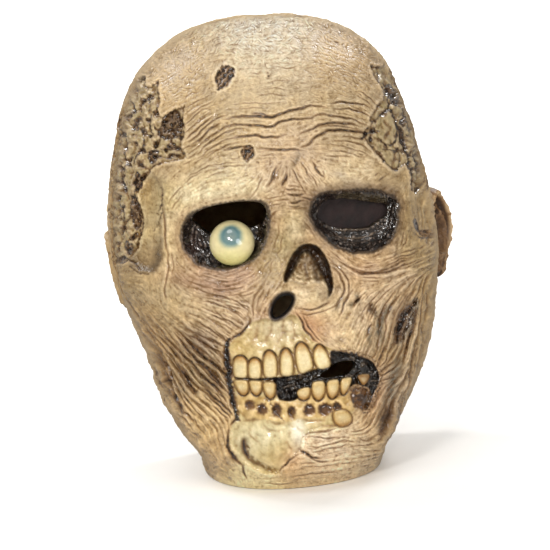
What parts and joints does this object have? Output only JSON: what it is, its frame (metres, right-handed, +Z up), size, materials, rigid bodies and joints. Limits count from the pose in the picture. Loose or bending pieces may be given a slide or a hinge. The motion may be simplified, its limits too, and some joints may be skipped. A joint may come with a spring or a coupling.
{
  "type": "latex halloween mask",
  "caption": "Full-head latex horror mask of a decayed skull-like face with a bulging false eyeball, a gauze-covered eye socket, a bared jaw of teeth, one ear and a slit up the back.",
  "frame": {"origin": "centre of the neck opening, in the plane of the neck rim", "axes": "+Z up to the crown, -Y the way the face looks, +X towards the wearer's left, the side of the one ear and of the gauze-covered eye"},
  "size_m": [0.2099, 0.2496, 0.28],
  "materials": {
    "painted_latex": "hand-painted latex, satin, glossy in the sockets and on the teeth",
    "eyeball_plastic": "gloss",
    "set_glue": "set contact glue, slightly glossy",
    "black_gauze": "open weave, matt"
  },
  "bodies": {
    "root": {"latex_skin": "painted_latex", "false_eyeball": "eyeball_plastic", "eyeball_glue_pad": "set_glue", "eye_gauze": "black_gauze", "gauze_glue_seam": "set_glue"}
  },
  "joints": []
}
